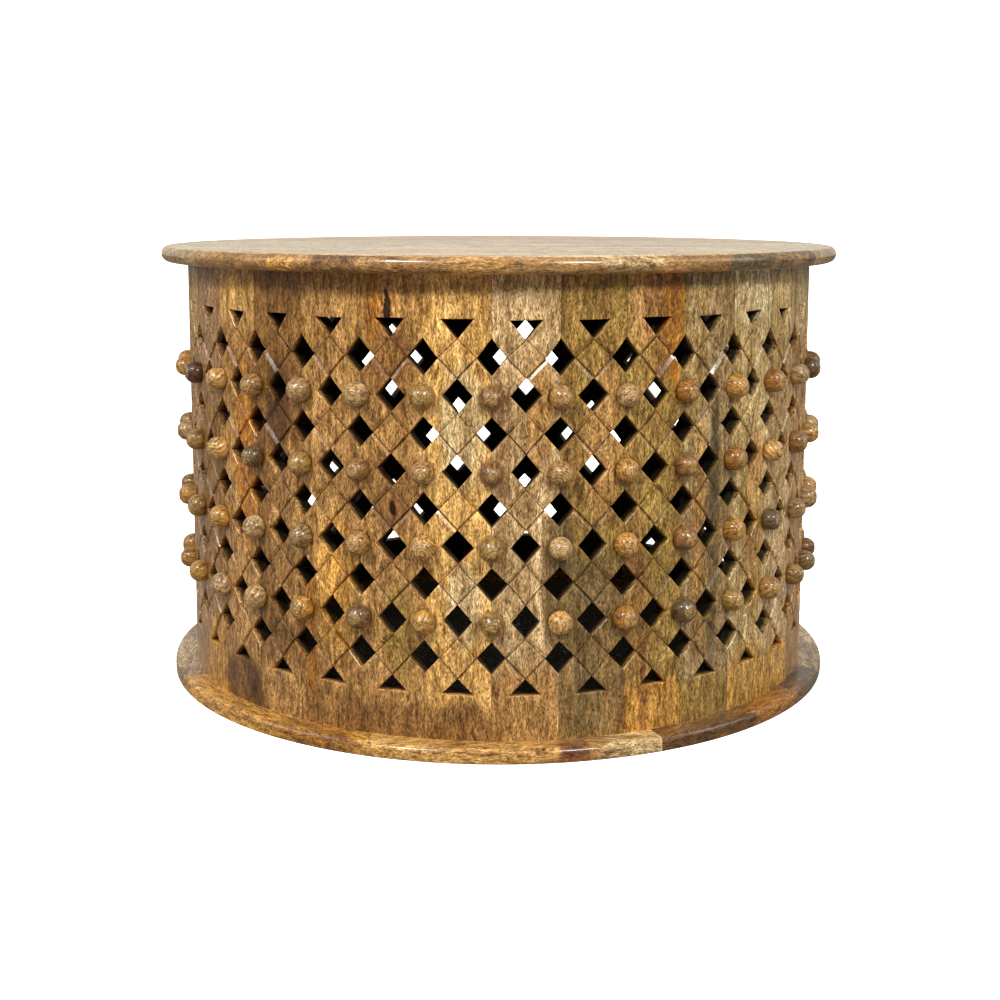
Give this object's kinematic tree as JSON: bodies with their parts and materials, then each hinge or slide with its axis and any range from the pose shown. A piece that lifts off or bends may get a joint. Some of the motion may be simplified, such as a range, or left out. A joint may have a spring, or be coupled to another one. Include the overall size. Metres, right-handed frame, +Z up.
{
  "type": "drum table",
  "caption": "Round wooden drum table: a lattice drum of pierced staves set with rows of turned knobs, between a round plank top and a ledged base ring.",
  "frame": {"origin": "on the floor at the centre of the base ring, on the drum's axis", "axes": "+Z up along the drum's axis; -Y towards the front; the planks of the top run along X"},
  "size_m": [0.8, 0.8, 0.504],
  "materials": {
    "golden_wood": "satin lacquered mango wood",
    "tan_wood": "satin lacquered mango wood",
    "brown_wood": "satin lacquered mango wood",
    "grey_wood": "satin lacquered mango wood",
    "pale_wood": "satin lacquered mango wood"
  },
  "bodies": {
    "root": {"stave_01": "grey_wood", "stave_02": "brown_wood", "stave_03": "golden_wood", "stave_04": "tan_wood", "stave_05": "pale_wood", "stave_06": "grey_wood", "stave_07": "tan_wood", "stave_08": "golden_wood", "stave_09": "brown_wood", "stave_10": "tan_wood", "stave_11": "pale_wood", "stave_12": "grey_wood", "stave_13": "golden_wood", "stave_14": "tan_wood", "stave_15": "brown_wood", "stave_16": "golden_wood", "stave_17": "grey_wood", "stave_18": "tan_wood", "stave_19": "pale_wood", "stave_20": "golden_wood", "stave_21": "brown_wood", "stave_22": "tan_wood", "stave_23": "grey_wood", "stave_24": "golden_wood", "stave_25": "pale_wood", "stave_26": "brown_wood", "stave_27": "tan_wood", "stave_28": "grey_wood", "stave_29": "tan_wood", "stave_30": "golden_wood", "stave_31": "brown_wood", "stave_32": "tan_wood", "stave_33": "brown_wood", "stave_34": "tan_wood", "knob_ring_1": "golden_wood", "knob_ring_2": "brown_wood", "knob_ring_3": "tan_wood", "knob_ring_4": "golden_wood", "top_plank_1": "brown_wood", "top_plank_2": "tan_wood", "top_plank_3": "grey_wood", "top_plank_4": "pale_wood", "top_plank_5": "tan_wood", "top_plank_6": "grey_wood", "top_plank_7": "tan_wood", "top_plank_8": "pale_wood", "top_plank_9": "brown_wood", "ring_board_1": "tan_wood", "ring_board_2": "brown_wood", "ring_board_3": "pale_wood", "ring_board_4": "tan_wood", "ring_board_5": "golden_wood", "ring_board_6": "brown_wood", "ring_board_7": "grey_wood", "ring_board_8": "golden_wood", "top_glue_blocks": "tan_wood", "base_glue_blocks": "tan_wood"}
  },
  "joints": []
}
